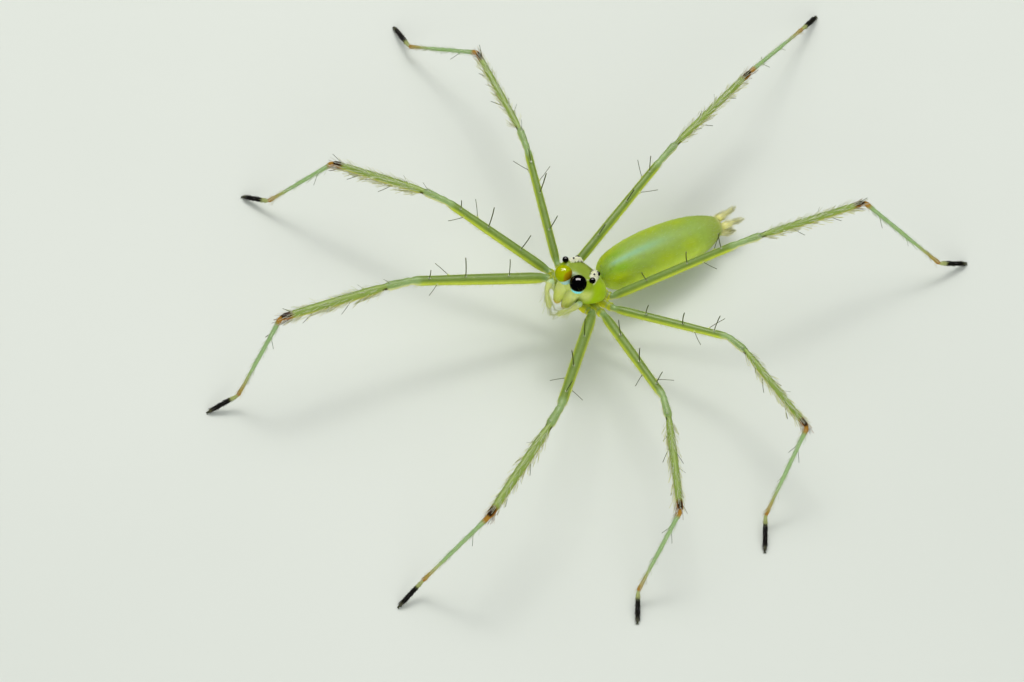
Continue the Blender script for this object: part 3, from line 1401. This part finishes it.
# %% Hairs of the legs
# Section, number of hairs, first and last share, turn from the top, spread of the turn, length,
# lift, paleness
LEG_HAIRS = (
    (HIP, 20, 0.3, 1.0, 0, 180, 0.07, 0.6, 0.5),
    (THIGH, 120, 0.03, 0.98, 115, 35, 0.08, 0.70, 0.35),
    (THIGH, 120, 0.03, 0.98, -115, 35, 0.08, 0.70, 0.35),
    (THIGH, 50, 0.03, 0.98, 0, 90, 0.05, 0.40, 0.4),
    (KNEE, 34, 0.05, 0.98, 0, 180, 0.11, 0.5, 0.6),
    (SHIN, 140, 0.03, 0.98, 180, 70, 0.24, 0.50, 0.30),
    (SHIN, 120, 0.03, 0.98, 0, 115, 0.18, 0.55, 0.65),
    (ANKLE, 90, 0.03, 0.98, 180, 90, 0.15, 0.45, 0.6),
    (ANKLE, 60, 0.03, 0.98, 0, 90, 0.12, 0.50, 0.7),
)
hairs = Roots(23)
for leg_name in LEG_POSES:
    leg = LOFTS["leg_" + leg_name]
    for section, count, start, end, turn, around, reach, lift, pale in LEG_HAIRS:
        shares = np.linspace(start, end, count) + hairs.draw.uniform(-0.01, 0.01, count)
        turns = (turn + hairs.draw.uniform(-around, around, count)) / 360 * leg.sides
        hairs.add(leg, section_rings(leg, section, shares), turns, reach, lift, pale=pale)
hairs.coat("leg_hairs", HAIR, "shin", Sides=3, Joints=4, Slenderness=0.026, Tip=0.2, Bend=0.18)

# %% Dark hairs, toe tufts and claws of the feet
FOOT_HAIRS = 150
TUFT_HAIRS = 40
feet = Roots(31)
claws = Roots(37)
for leg_name in LEG_POSES:
    leg = LOFTS["leg_" + leg_name]
    shares = feet.draw.uniform(0.05, 0.95, FOOT_HAIRS)
    turns = feet.any_side(leg, FOOT_HAIRS)
    feet.add(leg, section_rings(leg, FOOT, shares), turns, 0.060, 0.42)
    tuft = feet.draw.uniform(0.86, 0.99, TUFT_HAIRS)
    under = (180 + feet.draw.uniform(-75, 75, TUFT_HAIRS)) / 360 * leg.sides
    feet.add(leg, section_rings(leg, FOOT, tuft), under, 0.045, 0.55, colour=FOOT_BLACK * 1.5)
    pair = np.array([0.965, 0.965])
    claws.add(leg, section_rings(leg, FOOT, pair), np.array([0.1, -0.1]) * leg.sides, 0.075, 0.35,
              colour=SPINE_BROWN * 0.6, vary=0.0, stray=0.0)
feet.coat("foot_hairs", HORN, "foot", Sides=3, Joints=3, Slenderness=0.05, Tip=0.25, Bend=0.1)
claws.coat("foot_claws", HORN, "foot", Sides=5, Joints=6, Slenderness=0.13, Tip=0.1, Bend=0.55)

# %% Hairs of the face, feelers, abdomen and tail
PALP_HAIRS = 110
JAW_HAIRS = 70
SPINNERET_HAIRS = 260
DOWN_HAIRS = 1500
face = Roots(47)
for side_name in SIDES:
    palp = LOFTS["palp_" + side_name]
    # The hairs crowd towards the tip, and are longest there
    rings = palp.count * (1 - 0.97 * face.draw.uniform(0.02, 0.9, PALP_HAIRS) ** 1.4)
    lengths = np.where(rings > palp.count * 0.6, 0.19, 0.09)
    face.add(palp, rings, face.any_side(palp, PALP_HAIRS), lengths, 0.45, pale=0.35)
    face.scatter(LOFTS["jaw_" + side_name], JAW_HAIRS, 0.30, 0.95, 0.07, 0.4, 0.4)
    for kind in SPINNERETS:
        tail = LOFTS[f"spinneret_{kind}_{side_name}"]
        face.scatter(tail, SPINNERET_HAIRS, 0.30, 0.97, 0.11, 0.45, 0.5)
face.coat("face_and_tail_hairs", HAIR, "palp", Sides=3, Joints=4, Slenderness=0.022, Tip=0.2, Bend=0.12)

down = Roots(53)
down.scatter(LOFTS["abdomen"], DOWN_HAIRS, 0.05, 0.98, 0.055, 0.25, 0.12)
down.coat("abdomen_down", HAIR, "abdomen", Sides=3, Joints=3, Slenderness=0.04, Tip=0.2, Bend=-0.1)

# %% Scales on the eye ridges
RIDGE_SCALES = 460
HEAD_TOP_FROM = 0.5
OUT_OF_REACH = 9.0


def chest_spot(x, y):
    """The ring and side of the chest's loft nearest a place on top of the head."""
    local = (LOFTS["chest"].rings - np.array([0, 0, CHEST_HEIGHT])) @ CHEST_TURN
    off = (local[..., 0] - x) ** 2 + (local[..., 1] - y) ** 2
    off += np.where(local[..., 2] < HEAD_TOP_FROM, OUT_OF_REACH, 0.0)
    return np.unravel_index(np.argmin(off), off.shape)


scales = Roots(59)
for mirror in SIDES.values():
    share = scales.draw.uniform(0.18, 1.0, RIDGE_SCALES)
    line = RIDGE_FRONT + share[:, None] * (RIDGE_BACK - RIDGE_FRONT)
    aside = np.clip(scales.draw.normal(0, 0.032, (RIDGE_SCALES, 2)), -0.06, 0.06)
    spots = np.array([chest_spot(mirror * x, y) for x, y in line + aside], float)
    spots += scales.draw.uniform(-0.5, 0.5, spots.shape)
    scales.add(LOFTS["chest"], spots[:, 0], spots[:, 1], 0.046, 0.10, colour=SCALE_WHITE,
               flat=True, stray=0.06, sink=0.006)
scales.coat("ridge_scales", SCALE, "jaw", Sides=6, Joints=4, Slenderness=0.17, Flatness=0.15,
            Tip=0.3, Bend=0.05)

# %% [markdown]
# ## Floor, light and camera
# A pale plain floor, and a camera that looks down at the angle of the photograph with a long lens,
# so the spider fills the picture. The lamps have two tasks. Four of them light the colours and are
# hidden from reflections, and one makes every highlight. Otherwise the pale floor and the lamps would
# show in the black eyes and turn them grey.

# %% Floor
FLOOR_HALF = 1.5
FLOOR_CORNERS = [(x * FLOOR_HALF, y * FLOOR_HALF, 0) for x, y in ((-1, -1), (1, -1), (1, 1), (-1, 1))]
FLOOR_DARK = ink(212, 218, 206)
FLOOR_LIGHT = ink(222, 227, 216)


def make_floor():
    mesh = bpy.data.meshes.new("floor")
    mesh.from_pydata(FLOOR_CORNERS, [], [(0, 1, 2, 3)])
    material, tree, shader = new_material("pale floor")
    tone = ramp(tree, grain(tree, 60), [(0.0, FLOOR_DARK), (1.0, FLOOR_LIGHT)])
    tree.links.new(tone, shader.inputs["Base Color"])
    set_sockets(shader, {"Roughness": 0.7})
    mesh.materials.append(material)
    floor = new_object("floor", mesh)
    floor.visible_glossy = False


make_floor()
print("floor laid, in metres across:", 2 * FLOOR_HALF)

# %% Camera at the photograph's angle
VIEW_AZIMUTH = math.radians(31.7)
VIEW_ELEVATION = math.radians(60.9)
VIEW_ROLL = math.radians(9.9)
VIEW_DISTANCE = 160.0
# The middle of the picture, in mm to the right of the body's place and above it
VIEW_CENTRE = (-1.411, -0.502)
PIXELS_PER_MM = 44.6
IMAGE_WIDTH = 1024
SENSOR = 36.0
NEAREST_SEEN = 0.005
FARTHEST_SEEN = 20.0

BACK = np.array([
    math.sin(VIEW_AZIMUTH) * math.cos(VIEW_ELEVATION),
    -math.cos(VIEW_AZIMUTH) * math.cos(VIEW_ELEVATION),
    math.sin(VIEW_ELEVATION),
])
LEVEL = np.array([math.cos(VIEW_AZIMUTH), math.sin(VIEW_AZIMUTH), 0.0])
RISE = np.cross(BACK, LEVEL)
RIGHT = math.cos(VIEW_ROLL) * LEVEL + math.sin(VIEW_ROLL) * RISE
UP = math.cos(VIEW_ROLL) * RISE - math.sin(VIEW_ROLL) * LEVEL


def aimed(obj, place, right, up, back):
    """Sets a camera or lamp at a place in mm with its own three directions."""
    turn = Matrix([right, up, back]).transposed().to_4x4()
    turn.translation = Vector(place) * MM
    obj.matrix_world = turn


camera_data = bpy.data.cameras.new("camera")
camera = new_object("camera", camera_data)
eye_place = SHIFT + VIEW_CENTRE[0] * RIGHT + VIEW_CENTRE[1] * UP + VIEW_DISTANCE * BACK
aimed(camera, eye_place, RIGHT, UP, BACK)
camera_data.sensor_width = SENSOR
camera_data.lens = PIXELS_PER_MM * VIEW_DISTANCE * SENSOR / IMAGE_WIDTH
camera_data.clip_start = NEAREST_SEEN
camera_data.clip_end = FARTHEST_SEEN
bpy.context.scene.camera = camera
print("lens in mm:", round(camera_data.lens, 1))

# %% Lights
def soft_lamp(name, toward_lamp, distance, wide, high, radiance):
    """A soft rectangular lamp that faces the spider from a direction, of a brightness in W/m2/sr."""
    data = bpy.data.lights.new(name, "AREA")
    data.shape = "RECTANGLE"
    data.size = wide * MM
    data.size_y = high * MM
    data.energy = radiance * math.pi * wide * MM * high * MM
    lamp = new_object(name, data)
    back = unit(toward_lamp)
    top = unit(np.cross(back, RIGHT))
    aimed(lamp, SHIFT + back * distance, np.cross(top, back), top, back)
    return lamp


KEY_TOWARD = unit(0.84 * UP + 0.54 * BACK)
# Direction, distance, width, height and brightness of the lamps that light the colours only
PLAIN_LAMPS = {
    "softbox": (KEY_TOWARD, 120.0, 170.0, 80.0, 1.15),
    "flash": (KEY_TOWARD, 118.0, 46.0, 20.0, 11.0),
    "side fill": (unit([0.7, -0.6, 0.5]), 160.0, 160.0, 120.0, 0.50),
    "camera fill": (unit(0.80 * BACK - 0.60 * UP), 170.0, 150.0, 110.0, 1.90),
}
for lamp_name, (toward, distance, wide, high, radiance) in PLAIN_LAMPS.items():
    soft_lamp(lamp_name, toward, distance, wide, high, radiance).visible_glossy = False
# One lamp makes every glint, so the eyes stay black but for one clean spot
GLINT_LAMP = (KEY_TOWARD, 117.0, 116.0, 56.0, 19.0)
GLINT_COLOUR = (1.0, 0.93, 0.92)
SKY_COLOUR = (0.93, 0.96, 1.0, 1.0)
SKY_STRENGTH = 0.40
glint = soft_lamp("glint", *GLINT_LAMP)
glint.visible_diffuse = False
glint.data.color = GLINT_COLOUR
world = bpy.data.worlds.new("studio")
world.use_nodes = True
set_sockets(world.node_tree.nodes["Background"], {"Color": SKY_COLOUR, "Strength": SKY_STRENGTH})
world.cycles_visibility.glossy = False
bpy.context.scene.world = world
bpy.context.scene.view_settings.view_transform = "Standard"
print("key lamp towards", KEY_TOWARD.round(2))
